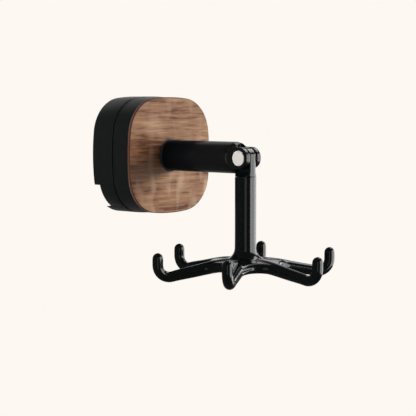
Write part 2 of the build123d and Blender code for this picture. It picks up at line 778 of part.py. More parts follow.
# Web: the star between the arms' roots, with round crotches and a round rim, dished like the arms
web_end = web_reach + overrun
web_end_fall = fall * (web_end - knee_place)
with BuildPart() as claw_web:
    with BuildSketch(Plane.XY.offset(knee_corner)) as star:
        with PolarLocations(0, arm_count):
            Rectangle(web_reach, 2 * web_arm_half, align=(Align.MIN, Align.CENTER))
        fillet(star.vertices().sort_by_distance((0, 0, knee_corner))[:arm_count], web_round)
    extrude(amount=-knee_corner)
    with BuildSketch(Plane.XZ) as dish:
        with BuildLine():
            faces = [
                FilletPolyline(
                    (0, arm_line + half),
                    (knee_place, arm_line + half),
                    (web_end, arm_line + half - web_end_fall),
                    radius=knee_radius,
                )
                for half in (web_half, -web_half)
            ]
            Line(faces[0] @ 1, faces[1] @ 1)
            Line(faces[0] @ 0, faces[1] @ 0)
        make_face()
    revolve(axis=Axis.Z, mode=Mode.INTERSECT)
    upright = claw_web.edges().filter_by(Axis.Z)
    walls = [
        face for face in claw_web.faces()
        if abs(face.normal_at().Z) < tiny and Vector(face.center().X, face.center().Y).length < web_reach - tiny
    ]
    rim = [edge for face in walls for edge in face.edges() if edge not in upright]
    fillet(rim, web_half - web_rim_flat)

# Stem and claw in one moulding: bored from below, with a land and a seat for the bush at the top
with BuildPart() as stem_claw:
    with BuildSketch(stem_plane):
        with BuildLine():
            Line((0, stem_top), (stem_radius - stem_edge, stem_top))
            Line((stem_radius - stem_edge, stem_top), (stem_radius, stem_top - stem_edge))
            Line((stem_radius, stem_top - stem_edge), (stem_radius, plate_top + flare_round))
            TangentArc(
                (stem_radius, plate_top + flare_round),
                (stem_radius + flare_round, plate_top),
                tangent=(0, -1),
            )
            Line((stem_radius + flare_round, plate_top), (stem_radius + flare_round, arm_line))
            Line((stem_radius + flare_round, arm_line), (hub_foot_radius, hub_foot))
            Line((hub_foot_radius, hub_foot), (0, hub_foot))
            Line((0, hub_foot), (0, stem_top))
        make_face()
    revolve(axis=stem_axis)
    with Locations(level(0)):
        with PolarLocations(0, arm_count, start_angle=first_arm):
            add(claw_arm.part)
        with PolarLocations(0, 1, start_angle=first_arm):
            add(claw_web.part)
    with BuildSketch(level(hub_foot)):
        Circle(plug_head_radius + fixed_gap)
    extrude(amount=plug_head_thick, mode=Mode.SUBTRACT)
    with BuildSketch(level(hub_foot - tip_radius)):
        Circle(bore_radius)
    extrude(amount=land_foot - hub_foot + tip_radius, mode=Mode.SUBTRACT)
    with BuildSketch(level(land_foot)):
        Circle(bush_radius + fixed_gap)
    extrude(amount=stem_top - land_foot, mode=Mode.SUBTRACT)
    with BuildSketch(level(stem_top)):
        Circle(bush_flange_radius + fixed_gap)
    extrude(amount=-bush_flange_thick, mode=Mode.SUBTRACT)
finish(stem_claw, "stem_claw")

with BuildPart() as hub_plug:
    with BuildSketch(level(hub_foot)):
        Circle(plug_head_radius)
    extrude(amount=plug_head_thick)
    chamfer(hub_plug.edges().group_by(Axis.Z)[0], plug_edge)
    with BuildSketch(level(hub_foot + plug_head_thick)):
        Circle(bore_radius - fixed_gap)
        Circle(bore_radius - fixed_gap - plug_wall, mode=Mode.SUBTRACT)
    extrude(amount=plug_length)
finish(hub_plug, "hub_plug")
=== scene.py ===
"""A folding, turning utensil hook on a locking suction mount with a walnut face, dressed for a studio picture."""

import json
import logging
import math
from collections.abc import Callable, Iterator
from contextlib import contextmanager
from dataclasses import dataclass, field
from enum import Enum

import bpy
import numpy as np
from mathutils import Matrix, Vector

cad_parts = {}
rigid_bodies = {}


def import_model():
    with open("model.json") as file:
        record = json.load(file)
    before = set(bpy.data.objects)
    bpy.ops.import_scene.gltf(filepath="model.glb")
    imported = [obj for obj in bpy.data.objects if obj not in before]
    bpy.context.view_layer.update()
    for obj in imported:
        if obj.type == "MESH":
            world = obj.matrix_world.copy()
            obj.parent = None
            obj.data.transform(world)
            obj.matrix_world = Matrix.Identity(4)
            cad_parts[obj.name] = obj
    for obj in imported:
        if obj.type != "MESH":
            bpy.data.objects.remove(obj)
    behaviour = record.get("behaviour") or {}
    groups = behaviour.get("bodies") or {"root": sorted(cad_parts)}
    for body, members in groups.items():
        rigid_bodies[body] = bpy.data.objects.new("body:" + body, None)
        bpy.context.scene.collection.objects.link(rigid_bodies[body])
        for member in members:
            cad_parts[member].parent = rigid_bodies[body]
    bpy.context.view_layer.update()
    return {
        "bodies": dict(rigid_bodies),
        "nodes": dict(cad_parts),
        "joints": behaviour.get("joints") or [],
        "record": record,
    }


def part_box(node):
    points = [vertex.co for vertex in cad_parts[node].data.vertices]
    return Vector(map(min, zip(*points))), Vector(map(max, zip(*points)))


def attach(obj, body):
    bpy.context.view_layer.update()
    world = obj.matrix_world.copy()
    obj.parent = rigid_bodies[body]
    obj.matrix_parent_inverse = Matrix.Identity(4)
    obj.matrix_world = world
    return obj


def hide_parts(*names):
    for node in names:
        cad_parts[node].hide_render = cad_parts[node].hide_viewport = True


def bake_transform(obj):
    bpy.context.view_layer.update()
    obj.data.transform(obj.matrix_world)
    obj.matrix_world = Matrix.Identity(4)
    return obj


logging.basicConfig(level=logging.INFO, format="%(levelname)s %(message)s")
log = logging.getLogger("hook")

MM = 0.001
MERGE_GAP = 1e-6
SMOOTH_STEP = 0.5
# The Mix node's sockets for colours, which have the same names as its sockets for numbers.
COLOUR_INPUTS = (6, 7)
COLOUR_OUTPUT = 2

# The curve between linear light and a display's levels.
DISPLAY_TOP = 255
LINEAR_TOP = 10
LINEAR_SLOPE = 12.92
CURVE_SHIFT = 0.055
CURVE_SCALE = 1.055
CURVE_POWER = 2.4

Socket = bpy.types.NodeSocket
Level = bpy.types.NodeSocket | float


class Shade(Enum):
    """The finishes that the object wears, by the record's material slot."""

    HOUSING = "housing_black"
    ARM = "arm_black"
    CLAW = "claw_black"
    TONGUE = "head_black"
    PIN = "pin_steel"
    WALNUT = "walnut"
    CUP = "cup_rubber"
    TAPE = "tape"
    ACETAL = "inner_plastic"
    SCREW = "screw_steel"
    BRASS = "stud_brass"


class Tree:
    """A small writer of shader trees, so that each one reads as a list of steps."""

    def __init__(self, tree: bpy.types.NodeTree) -> None:
        """Start with an empty tree.

        Args:
            tree: The tree to clear and write to.
        """
        self.tree = tree
        self.tree.nodes.clear()

    def add(self, kind: str, settings: dict | None = None, **inputs: Level | tuple) -> bpy.types.Node:
        """Add a node, with its settings and with its inputs set or linked.

        Args:
            kind: The node's type name.
            settings: Properties of the node itself.
            inputs: Socket names, with spaces as underscores, and a value or an output socket for each.

        Returns:
            The new node.
        """
        node = self.tree.nodes.new(kind)
        for key, value in (settings or {}).items():
            setattr(node, key, value)
        self.feed_all(node, inputs)
        return node

    def feed_all(self, node: bpy.types.Node, inputs: dict) -> None:
        """Link or set a node's inputs, by their names with spaces as underscores."""
        for key, value in inputs.items():
            self.feed(node.inputs[key.replace("_", " ")], value)

    def feed(self, socket: Socket, value: Level | tuple) -> None:
        """Link an output to a socket, or set its value.

        Args:
            socket: The input socket.
            value: An output socket to link, or a plain value.
        """
        if isinstance(value, Socket):
            self.tree.links.new(value, socket)
        else:
            socket.default_value = value

    def math(self, way: str, *levels: Level) -> Socket:
        """Do one sum with levels.

        Args:
            way: The sum's type name.
            levels: What it works on, in the node's order.

        Returns:
            The result's output.
        """
        node = self.add("ShaderNodeMath", {"operation": way})
        for socket, level in zip(node.inputs, levels):
            self.feed(socket, level)
        return node.outputs[0]

    def either(self, share: Level, first: Socket, second: Socket) -> Socket:
        """Mix two shaders.

        Args:
            share: How much of the second one shows.
            first: The first shader's output.
            second: The second shader's output.

        Returns:
            The mixed shader's output.
        """
        node = self.add("ShaderNodeMixShader")
        for socket, value in zip(node.inputs, (share, first, second)):
            self.feed(socket, value)
        return node.outputs[0]

    def rays(self) -> tuple[Socket, Socket]:
        """Tell the rays apart.

        Returns:
            A level that is 1 for mirrored rays, and one that is 1 for the camera's own and see-through rays.
        """
        path = self.add("ShaderNodeLightPath").outputs
        return path["Is Glossy Ray"], self.math("MAXIMUM", path["Is Camera Ray"], path["Is Transmission Ray"])


class Nodes(Tree):
    """The writer of a material's tree, with one principled shader."""

    def __init__(self, name: str) -> None:
        """Start a material with its shader and output.

        Args:
            name: The material's name.
        """
        self.material = bpy.data.materials.new(name)
        self.material.use_nodes = True
        super().__init__(self.material.node_tree)
        self.shader = self.add("ShaderNodeBsdfPrincipled")
        self.output = self.add("ShaderNodeOutputMaterial", Surface=self.shader.outputs["BSDF"])
        self.place = self.add("ShaderNodeTexCoord").outputs["Object"]

    def wear(self, **inputs: Level | tuple) -> None:
        """Link or set inputs of the principled shader, by their names with spaces as underscores."""
        self.feed_all(self.shader, inputs)

    def noise(
        self, scale: float, detail: float, rough: float = 0.5, vector: Socket | None = None, twist: float = 0
    ) -> Socket:
        """Add a noise pattern.

        Args:
            scale: How many cells there are to a metre.
            detail: How many finer layers it has.
            rough: How strong the finer layers are.
            vector: The place to read, or None for the object's own.
            twist: How far it is distorted.

        Returns:
            The level's output, from 0 to 1.
        """
        place = self.place if vector is None else vector
        return self.add(
            "ShaderNodeTexNoise", Vector=place, Scale=scale, Detail=detail, Roughness=rough, Distortion=twist
        ).outputs["Fac"]

    def ramp(self, level: Socket, stops: list) -> Socket:
        """Add a colour ramp over a level.

        Args:
            level: The output to read.
            stops: Pairs of a position and a colour.

        Returns:
            The colour's output.
        """
        node = self.add("ShaderNodeValToRGB", Fac=level)
        elements = node.color_ramp.elements
        while len(elements) < len(stops):
            elements.new(1.0)
        for element, (position, colour) in zip(elements, stops):
            element.position = position
            element.color = (*colour, 1.0)
        return node.outputs["Color"]

    def mix(self, share: Level, low: Socket | tuple, high: Socket | tuple, way: str = "MIX") -> Socket:
        """Mix two colours.

        Args:
            share: How much of the second one shows.
            low: The first colour.
            high: The second colour.
            way: The blend's type name.

        Returns:
            The mixed colour's output.
        """
        node = self.add("ShaderNodeMix", {"data_type": "RGBA", "blend_type": way})
        self.feed(node.inputs[0], share)
        for index, value in zip(COLOUR_INPUTS, (low, high)):
            self.feed(node.inputs[index], (*value, 1.0) if isinstance(value, tuple) else value)
        return node.outputs[COLOUR_OUTPUT]

    def span(self, level: Level, ends: tuple, start: float = 0.0, end: float = 1.0) -> Socket:
        """Map a level from one range to another, and keep it inside that.

        Args:
            level: The level to read.
            ends: The new range.
            start: Where the old range starts.
            end: Where the old range ends.

        Returns:
            The result's output.
        """
        low, high = ends
        return self.add(
            "ShaderNodeMapRange", Value=level, From_Min=start, From_Max=end, To_Min=low, To_Max=high
        ).outputs["Result"]

    def bump(self, height: Socket, depth: float, strength: float = 1.0, under: Socket | None = None) -> Socket:
        """Add a bump.

        Args:
            height: The level that it follows.
            depth: Its real depth in metres.
            strength: How strongly it shows.
            under: Another bump that it is laid over, or None.

        Returns:
            The normal's output.
        """
        node = self.add("ShaderNodeBump", Height=height, Distance=depth, Strength=strength)
        if under is not None:
            self.feed(node.inputs["Normal"], under)
        return node.outputs["Normal"]


def rgb(red: float, green: float, blue: float) -> tuple:
    """Turn a colour as a display writes it, 0 to 255, into linear light.

    Args:
        red: The red level.
        green: The green level.
        blue: The blue level.

    Returns:
        The three linear levels, from 0 to 1.
    """
    return tuple(
        level / DISPLAY_TOP / LINEAR_SLOPE
        if level <= LINEAR_TOP
        else ((level / DISPLAY_TOP + CURVE_SHIFT) / CURVE_SCALE) ** CURVE_POWER
        for level in (red, green, blue)
    )


def times(colour: tuple, share: float) -> tuple:
    """A colour with every level taken times a share."""
    return tuple(share * level for level in colour)


def eased(share: float) -> float:
    """A share from 0 to 1 that starts and ends gently."""
    return share * share * (3 - 2 * share)


@dataclass(frozen=True)
class Moulded:
    """Moulded or coated plastic and metal with a fine even grain."""

    colour: tuple
    rough: float
    grain_scale: float
    grain_depth: float
    specular: float = 0.5
    darkest: float = 0.86
    lightest: float = 1.12
    cloud_scale: float = 60
    sheen_scale: float = 900
    smoother: float = 0.04
    rougher: float = 0.05

    def dress(self, name: str) -> bpy.types.Material:
        """Build the finish.

        Args:
            name: The material's name.

        Returns:
            The material.
        """
        n = Nodes(name)
        cloud = n.noise(self.cloud_scale, detail=3)
        sheen = n.noise(self.sheen_scale, detail=3)
        n.wear(
            Base_Color=n.mix(cloud, times(self.colour, self.darkest), times(self.colour, self.lightest)),
            Roughness=n.span(sheen, (self.rough - self.smoother, self.rough + self.rougher)),
            Specular_IOR_Level=self.specular,
            Normal=n.bump(n.noise(self.grain_scale, detail=2), self.grain_depth),
        )
        return n.material


@dataclass(frozen=True)
class SatinMetal:
    """Bare satin metal with a fine blasted grain and a soft mottle."""

    colour: tuple
    rough: float
    metal: float
    speck_scale: float = 2600
    speck_ends: tuple = (0.3, 0.7)
    speck_dark: float = 0.86
    speck_depth: float = 0.02 * MM
    cloud_scale: float = 420
    cloud_share: float = 0.25
    cloud_dark: float = 0.9
    rough_play: float = 0.08

    def dress(self, name: str) -> bpy.types.Material:
        """Build the finish.

        Args:
            name: The material's name.

        Returns:
            The material.
        """
        n = Nodes(name)
        speck = n.noise(self.speck_scale, detail=4, rough=0.6)
        cloud = n.noise(self.cloud_scale, detail=3)
        low = times(self.colour, self.speck_dark)
        tone = n.mix(n.span(speck, (0, 1), *self.speck_ends), low, self.colour)
        n.wear(
            Base_Color=n.mix(n.span(cloud, (0, self.cloud_share)), tone, times(low, self.cloud_dark)),
            Metallic=self.metal,
            Roughness=n.span(speck, (self.rough - self.rough_play, self.rough + self.rough_play)),
            Normal=n.bump(speck, self.speck_depth),
        )
        return n.material


@dataclass(frozen=True)
class SoftRubber:
    """Dark soft rubber or tape, with a slight play of sheen."""

    colour: tuple
    rough: float
    cloud_scale: float = 140
    darkest: float = 0.8
    rough_play: float = 0.08
    translucent: float = 0.05
    grain_scale: float = 1500
    grain_depth: float = 0.01 * MM

    def dress(self, name: str) -> bpy.types.Material:
        """Build the finish.

        Args:
            name: The material's name.

        Returns:
            The material.
        """
        n = Nodes(name)
        cloud = n.noise(self.cloud_scale, detail=4)
        n.wear(
            Base_Color=n.mix(cloud, times(self.colour, self.darkest), self.colour),
            Roughness=n.span(cloud, (self.rough - self.rough_play, self.rough + self.rough_play)),
            Subsurface_Weight=self.translucent,
            Normal=n.bump(n.noise(self.grain_scale, detail=2), self.grain_depth),
        )
        return n.material


@dataclass(frozen=True)
class Layer:
    """One layer of the wood's pattern: a noise with so many cells to a metre along each axis."""

    cells: tuple
    shift: tuple = (0, 0, 0)
    detail: float = 3
    rough: float = 0.5
    twist: float = 0

    def level(self, n: Nodes) -> Socket:
        """The layer's level, from 0 to 1, in a material's tree."""
        place = n.add("ShaderNodeMapping", Vector=n.place, Scale=self.cells, Location=self.shift).outputs["Vector"]
        return n.noise(1, self.detail, self.rough, place, self.twist)


@dataclass(frozen=True)
class Walnut:
    """Walnut with level grain, a soft upright figure with painted sheen, painted shade at the lower left and a darker
    sawn edge.
    """

    light: tuple = rgb(190, 149, 113)
    body: tuple = rgb(160, 117, 86)
    dark: tuple = rgb(98, 61, 41)
    pore: tuple = rgb(74, 44, 30)
    # Painted sheen: the lighter colour of the figure's shimmer, fixed in place.
    sheen: tuple = rgb(208, 174, 144)
    edge: tuple = rgb(96, 57, 40)
    # Painted shade: the multiplier that darkens and reddens the lower left of the face.
    painted_shade_tone: tuple = (0.8, 0.67, 0.58)

    band: Layer = Layer((22, 20, 95), (3.1, 0, 1.7), twist=0.4)
    streak: Layer = Layer((50, 40, 560), (7.4, 0, 2.2), detail=4, rough=0.55, twist=0.25)
    fine: Layer = Layer((120, 120, 1500), rough=0.6)
    figure: Layer = Layer((112, 60, 54), (5.6, 0, 4.3), detail=0.7, rough=0.4, twist=0.15)

    band_share: float = 0.34
    streak_share: float = 0.66
    grain_ends: tuple = (0.38, 0.62)
    body_ends: tuple = (0.42, 0.6)
    figure_ends: tuple = (0.49, 0.72)
    figure_shares: tuple = (0.95, 0.38)
    figure_heights: tuple = (-24 * MM, 8 * MM)
    pore_share: float = 0.38
    pore_ends: tuple = (0.52, 0.76)
    painted_shade_drift: float = 30 * MM
    painted_shade_sides: tuple = (-16 * MM, 14 * MM)
    painted_shade_heights: tuple = (2 * MM, 14 * MM)
    sawn_ends: tuple = (0.75, 0.97)
    rough_ends: tuple = (0.46, 0.62)
    specular: float = 0.1
    streak_bump: tuple = (0.03 * MM, 0.4)
    pore_bump: tuple = (0.02 * MM, 0.5)

    def dress(self, name: str) -> bpy.types.Material:
        """Build the finish.

        Args:
            name: The material's name.

        Returns:
            The material.
        """
        n = Nodes(name)
        side, _, height = n.add("ShaderNodeSeparateXYZ", Vector=n.place).outputs
        band, streak, fine = self.band.level(n), self.streak.level(n), self.fine.level(n)
        grain = n.math("ADD", n.math("MULTIPLY", band, self.band_share), n.math("MULTIPLY", streak, self.streak_share))
        tones = zip((0.0, *self.body_ends, 1.0), (self.dark, self.body, self.body, self.light))
        tone = n.ramp(n.span(grain, (0, 1), *self.grain_ends), list(tones))
        # The upright figure is the wood's own pattern; its lighter sheen colour is painted sheen that does not move
        # with the view, stronger towards the bottom.
        figure = n.span(self.figure.level(n), (0, 1), *self.figure_ends)
        painted_sheen_share = n.math("MULTIPLY", figure, n.span(height, self.figure_shares, *self.figure_heights))
        lit = n.mix(painted_sheen_share, tone, self.sheen)
        veined = n.mix(n.span(fine, (0, self.pore_share), *self.pore_ends), lit, self.pore)
        # Painted shade: a darker, redder zone left of and below the arm's root, where the arm's shadow falls, its edge
        # drifting with the grain bands.
        drift = n.math("MULTIPLY_ADD", band, self.painted_shade_drift, side)
        left, low = n.span(drift, (1, 0), *self.painted_shade_sides), n.span(height, (1, 0), *self.painted_shade_heights)
        veined = n.mix(n.math("MULTIPLY", left, low), veined, self.painted_shade_tone, "MULTIPLY")
        facing = n.add("ShaderNodeSeparateXYZ", Vector=n.add("ShaderNodeTexCoord").outputs["Normal"]).outputs["Y"]
        sawn = n.span(n.math("ABSOLUTE", facing), (1, 0), *self.sawn_ends)
        n.wear(
            Base_Color=n.mix(sawn, veined, self.edge),
            Roughness=n.span(streak, self.rough_ends),
            Specular_IOR_Level=self.specular,
            Normal=n.bump(fine, *self.pore_bump, n.bump(streak, *self.streak_bump)),
        )
        return n.material


GLOSS = Moulded(rgb(9, 13, 14), rough=0.14, grain_scale=900, grain_depth=0.002 * MM)
FINISHES = {
    Shade.HOUSING: Moulded(rgb(11, 16, 17), rough=0.42, grain_scale=2400, grain_depth=0.03 * MM, specular=0.9),
    Shade.ARM: Moulded(rgb(15, 16, 18), rough=0.2, grain_scale=3000, grain_depth=0.003 * MM, specular=0.46),
    Shade.CLAW: GLOSS,
    Shade.TONGUE: GLOSS,
    Shade.PIN: SatinMetal(rgb(232, 228, 221), rough=0.5, metal=0.1),
    Shade.WALNUT: Walnut(),
    Shade.CUP: SoftRubber(rgb(34, 35, 37), rough=0.42),
    Shade.TAPE: SoftRubber(rgb(24, 24, 26), rough=0.6),
    Shade.ACETAL: Moulded(rgb(216, 213, 204), rough=0.42, grain_scale=1800, grain_depth=0.01 * MM),
    Shade.SCREW: SatinMetal(rgb(178, 178, 174), rough=0.32, metal=0.95),
    Shade.BRASS: SatinMetal(rgb(196, 164, 98), rough=0.28, metal=1.0),
}


def slots_of(frame: dict) -> dict:
    """Each solid's material slot, from what the frame's load returned."""
    return {part["node"]: part["material_slot"] for part in frame["record"]["subparts"]}


@dataclass
class Wardrobe:
    """Every finish, made once and shared."""

    made: dict = field(default_factory=dict)

    def get(self, shade: Shade) -> bpy.types.Material:
        """Look up a finish, and build it on first use.

        Args:
            shade: The finish.

        Returns:
            Its material.
        """
        if shade not in self.made:
            self.made[shade] = FINISHES[shade].dress(shade.value)
        return self.made[shade]

    def paint(self, piece: bpy.types.Object, shade: Shade) -> None:
        """Give a piece one finish all over."""
        piece.data.materials.clear()
        piece.data.materials.append(self.get(shade))

    def paint_frame(self, frame: dict) -> None:
        """Give each carried-over solid the finish of its slot.

        Args:
            frame: What the frame's load returned.
        """
        slots = slots_of(frame)
        for name, piece in frame["nodes"].items():
            self.paint(piece, Shade(slots[name]))
            log.info("dressed %s in %s", name, slots[name])


def pick(piece: bpy.types.Object) -> None:
    """Select one piece alone and make it active.

    Args:
        piece: The piece.
    """
    bpy.ops.object.select_all(action="DESELECT")
    piece.select_set(True)
    bpy.context.view_layer.objects.active = piece


@contextmanager
def editing(piece: bpy.types.Object) -> Iterator[None]:
    """Keep a piece in edit mode while the commands of a block run.

    Args:
        piece: The piece.

    Yields:
        Nothing.
    """
    pick(piece)
    bpy.ops.object.mode_set(mode="EDIT")
    yield
    bpy.ops.object.mode_set(mode="OBJECT")


def apply_all(piece: bpy.types.Object) -> None:
    """Apply every modifier of a piece, in order.

    Args:
        piece: The piece.
    """
    pick(piece)
    for modifier in list(piece.modifiers):
        bpy.ops.object.modifier_apply(modifier=modifier.name)


def copy_of(node: bpy.types.Object, name: str) -> bpy.types.Object:
    """Copy a solid into a piece of its own, with its triangles merged.

    Args:
        node: The solid.
        name: The new piece's name.

    Returns:
        The copy, at the origin and with no parent.
    """
    piece = bpy.data.objects.new(name, node.data.copy())
    for key in list(piece.keys()):
        del piece[key]
    bpy.context.scene.collection.objects.link(piece)
    with editing(piece):
        bpy.ops.mesh.select_all(action="SELECT")
        bpy.ops.mesh.remove_doubles(threshold=MERGE_GAP)
        bpy.ops.mesh.normals_make_consistent(inside=False)
    return piece


def smooth(piece: bpy.types.Object, rounds: int, where: Callable[[Vector], bool] | None = None) -> None:
    """Even out a piece's skin by rounds of the Smooth modifier.

    Args:
        piece: The piece.
        rounds: How many rounds.
        where: Which places it works on, or None for the whole skin.
    """
    modifier = piece.modifiers.new("even", "SMOOTH")
    modifier.factor = SMOOTH_STEP
    modifier.iterations = rounds
    if where is not None:
        group = piece.vertex_groups.new(name="chosen")
        group.add([point.index for point in piece.data.vertices if where(point.co)], 1.0, "REPLACE")
        modifier.vertex_group = group.name
    apply_all(piece)
    piece.vertex_groups.clear()


def shade_round(piece: bpy.types.Object, degrees: float = 180) -> None:
    """Shade a piece smoothly across every edge that turns less than an angle."""
    pick(piece)
    bpy.ops.object.shade_smooth_by_angle(angle=math.radians(degrees))


def even_shading(piece: bpy.types.Object, degrees: float) -> bpy.types.Object:
    """Shade a turned or moulded piece smoothly while its flats stay flat.

    Args:
        piece: The piece, with its triangles merged.
        degrees: The angle past which an edge stays sharp.

    Returns:
        The same piece.
    """
    shade_round(piece, degrees)
    modifier = piece.modifiers.new("even shading", "WEIGHTED_NORMAL")
    modifier.keep_sharp = True
    apply_all(piece)
    return piece


def join(main: bpy.types.Object, *others: bpy.types.Object) -> None:
    """Join other pieces into a main one.

    Args:
        main: The piece that stays.
        others: The pieces that go into it.
    """
    pick(main)
    for other in others:
        other.select_set(True)
    bpy.ops.object.join()


def even_skin(piece: bpy.types.Object, voxel: float) -> None:
    """Give a piece one closed skin of small even faces.

    Args:
        piece: The piece.
        voxel: The faces' size in metres.
    """
    remesh = piece.modifiers.new("even skin", "REMESH")
    remesh.mode = "VOXEL"
    remesh.voxel_size = voxel
    apply_all(piece)


def swell(piece: bpy.types.Object, amount: float) -> None:
    """Move a piece's skin outwards.

    Args:
        piece: The piece.
        amount: How far, in metres.
    """
    modifier = piece.modifiers.new("swell", "DISPLACE")
    modifier.strength = amount
    modifier.mid_level = 0
    apply_all(piece)


def keep_inside(piece: bpy.types.Object, node: str) -> None:
    """Hold a piece's skin within the box of the solid that it stands for.

    Args:
        piece: The piece.
        node: The solid's name.
    """
    low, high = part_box(node)
    for point in piece.data.vertices:
        point.co = Vector(min(max(value, a), b) for value, a, b in zip(point.co, low, high))


@dataclass
class Bench:
    """Where finished pieces are handed over to the frame."""

    frame: dict
    wardrobe: Wardrobe
    slots: dict = field(init=False)
    bodies: dict = field(init=False)

    def __post_init__(self) -> None:
        """Look up each solid's material slot and body."""
        bodies = self.frame["record"]["behaviour"]["bodies"]
        self.slots = slots_of(self.frame)
        self.bodies = {node: body for body, nodes in bodies.items() for node in nodes}

    def copy(self, node: str, name: str) -> bpy.types.Object:
        """A copy of a carried-over solid, under a new name."""
        return copy_of(self.frame["nodes"][node], name)

    def hand_over(self, piece: bpy.types.Object, node: str, rides: bool = True) -> None:
        """Dress a piece as the solid it stands for, and let it ride where that solid rides.

        Args:
            piece: The finished piece.
            node: The solid that it replaces.
            rides: Whether it rides on the solid's body, or else stays on no body.
        """
        keep_inside(piece, node)
        self.wardrobe.paint(piece, Shade(self.slots[node]))
        if rides:
            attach(piece, self.bodies[node])
        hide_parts(node)
        log.info("%s stands for %s with %d faces", piece.name, node, len(piece.data.polygons))


@dataclass
class Mount:
    """The wall mount's shells, its walnut face and the collar round the arm's root."""

    shell_turn: float = 55.0
    plain_turn: float = 30.0
    seam: float = -17.6 * MM
    seam_round: float = 0.35 * MM
    seam_steps: int = 3
    near: float = 0.03 * MM
    fine_edge: float = 0.25 * MM
    rim: float = 0.65 * MM
    rim_reach: float = 20 * MM
    roomwards: float = -0.99

    def build(self, bench: Bench) -> None:
        """Round the front shell's rear edge, widen the walnut's bevel, and hand the smooth pieces over.

        Args:
            bench: Where the solids are found and the pieces handed over.
        """
        rear = bench.copy("rear_housing", "rear_shell")
        front = bench.copy("front_housing", "front_shell")
        face = bench.copy("wood_face", "walnut_face")
        collar = bench.copy("arm_collar", "root_collar")
        self.round_seam(front)
        self.bevel_rim(face)
        bench.hand_over(even_shading(rear, self.shell_turn), "rear_housing")
        for piece, node in ((front, "front_housing"), (face, "wood_face"), (collar, "arm_collar")):
            bench.hand_over(even_shading(piece, self.plain_turn), node)
        # The wood isn't mirrored, so that the black arm stays neutral beside it.
        face.visible_glossy = False

    def round_seam(self, shell: bpy.types.Object) -> None:
        """Round the edge that the front shell turns to the groove.

        Args:
            shell: The front shell.
        """
        group = shell.vertex_groups.new(name="seam")
        chosen = [point.index for point in shell.data.vertices if abs(point.co.y - self.seam) < self.near]
        group.add(chosen, 1.0, "REPLACE")
        modifier = shell.modifiers.new("rounding", "BEVEL")
        modifier.width = self.seam_round
        modifier.segments = self.seam_steps
        modifier.limit_method = "VGROUP"
        modifier.vertex_group = group.name
        apply_all(shell)
        shell.vertex_groups.clear()

    def bevel_rim(self, face: bpy.types.Object) -> None:
        """Widen the fine bevel round the walnut's front edge.

        Args:
            face: The walnut plate.
        """
        with editing(face):
            bpy.ops.mesh.select_mode(type="FACE")
            bpy.ops.mesh.select_all(action="DESELECT")
        for polygon in face.data.polygons:
            polygon.select = polygon.normal.y < self.roomwards
        with editing(face):
            bpy.ops.mesh.inset(thickness=self.rim - self.fine_edge, depth=0)
        front = min(point.co.y for point in face.data.vertices)
        for point in face.data.vertices:
            outer = math.hypot(point.co.x, point.co.z) > self.rim_reach
            if outer and not point.select and point.co.y < front + self.fine_edge + self.near:
                point.co.y += self.rim - self.fine_edge


@dataclass
class Swivel:
    """The arm with its fork, and the tongue between the fork's ears, both with softened edges."""

    voxel: float = 0.28 * MM
    rounds: int = 7
    fork_start: float = -86.5 * MM
    fork_rounds: int = 14
    flat_side: float = 5.6 * MM
    flat_end: float = -91.5 * MM
    flat_rounds: int = 70

    def build(self, bench: Bench) -> None:
        """Give the arm and the tongue an even skin with soft edges, and hand them over.

        Args:
            bench: Where the solids are found and the pieces handed over.
        """
        arm = self.soft_copy(bench, "arm", "fork_arm")
        smooth(arm, self.fork_rounds, lambda place: place.y < self.fork_start)
        smooth(arm, self.flat_rounds, self.on_flats)
        tongue = self.soft_copy(bench, "swivel_head", "tongue")
        bench.hand_over(arm, "arm")
        bench.hand_over(tongue, "swivel_head")

    def on_flats(self, place: Vector) -> bool:
        """Whether a place is where the ears' flats run out into the bar."""
        return self.flat_end < place.y < self.fork_start and abs(place.x) > self.flat_side

    def soft_copy(self, bench: Bench, node: str, name: str) -> bpy.types.Object:
        """Copy a solid with an even skin, soft edges and smooth shading.

        Args:
            bench: Where the solid is found.
            node: The solid's name.
            name: The new piece's name.

        Returns:
            The copy.
        """
        piece = bench.copy(node, name)
        even_skin(piece, self.voxel)
        smooth(piece, self.rounds)
        shade_round(piece)
        return piece


@dataclass
class Cup:
    """The suction cup: a soft disc with grip rings in its hollow and a ribbed pull tab."""

    voxel: float = 0.36 * MM
    rounds: int = 6
    hollow: float = 3.9 * MM
    seal_start: float = 25.5 * MM
    ring_places: tuple = (10 * MM, 16 * MM, 21.5 * MM)
    ring_round: float = 0.5 * MM
    ring_sides: tuple = (120, 10)
    tab_angle: float = math.radians(222)
    tab_top: float = 1.0 * MM
    rib_places: tuple = (31.9 * MM, 33.1 * MM, 34.3 * MM)
    rib_size: tuple = (0.55 * MM, 0.7 * MM, 6.4 * MM)
    rim_depth: float = 1.3 * MM

    def build(self, bench: Bench) -> None:
        """Model the cup, and hand it over without letting it ride on any body.

        Args:
            bench: Where the piece is handed over.
        """
        cup = bench.copy("suction_cup", "soft_cup")
        join(cup, *self.rings(), *self.ribs())
        even_skin(cup, self.voxel)
        smooth(cup, self.rounds)
        shade_round(cup)
        bench.hand_over(cup, "suction_cup", rides=False)
        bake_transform(cup)

    def rings(self) -> list:
        """Make the grip rings on the hollow's skin.

        Returns:
            The rings as objects.
        """
        curve = (self.seal_start**2 + self.hollow**2) / (2 * self.hollow)
        around, through = self.ring_sides
        rings = []
        for reach in self.ring_places:
            depth = self.hollow - curve + math.sqrt(curve**2 - reach**2)
            bpy.ops.mesh.primitive_torus_add(
                location=(0, -depth, 0), rotation=(math.pi / 2, 0, 0), major_segments=around, minor_segments=through,
                major_radius=reach, minor_radius=self.ring_round,
            )
            rings.append(bpy.context.object)
        return rings

    def ribs(self) -> list:
        """Make the cross ribs on the tab.

        Returns:
            The ribs as objects.
        """
        ribs = []
        for reach in self.rib_places:
            bpy.ops.mesh.primitive_cube_add(
                size=1, scale=self.rib_size, rotation=(0, -self.tab_angle, 0),
                location=(reach * math.cos(self.tab_angle), -self.tab_top, reach * math.sin(self.tab_angle)),
            )
            ribs.append(bpy.context.object)
        return ribs


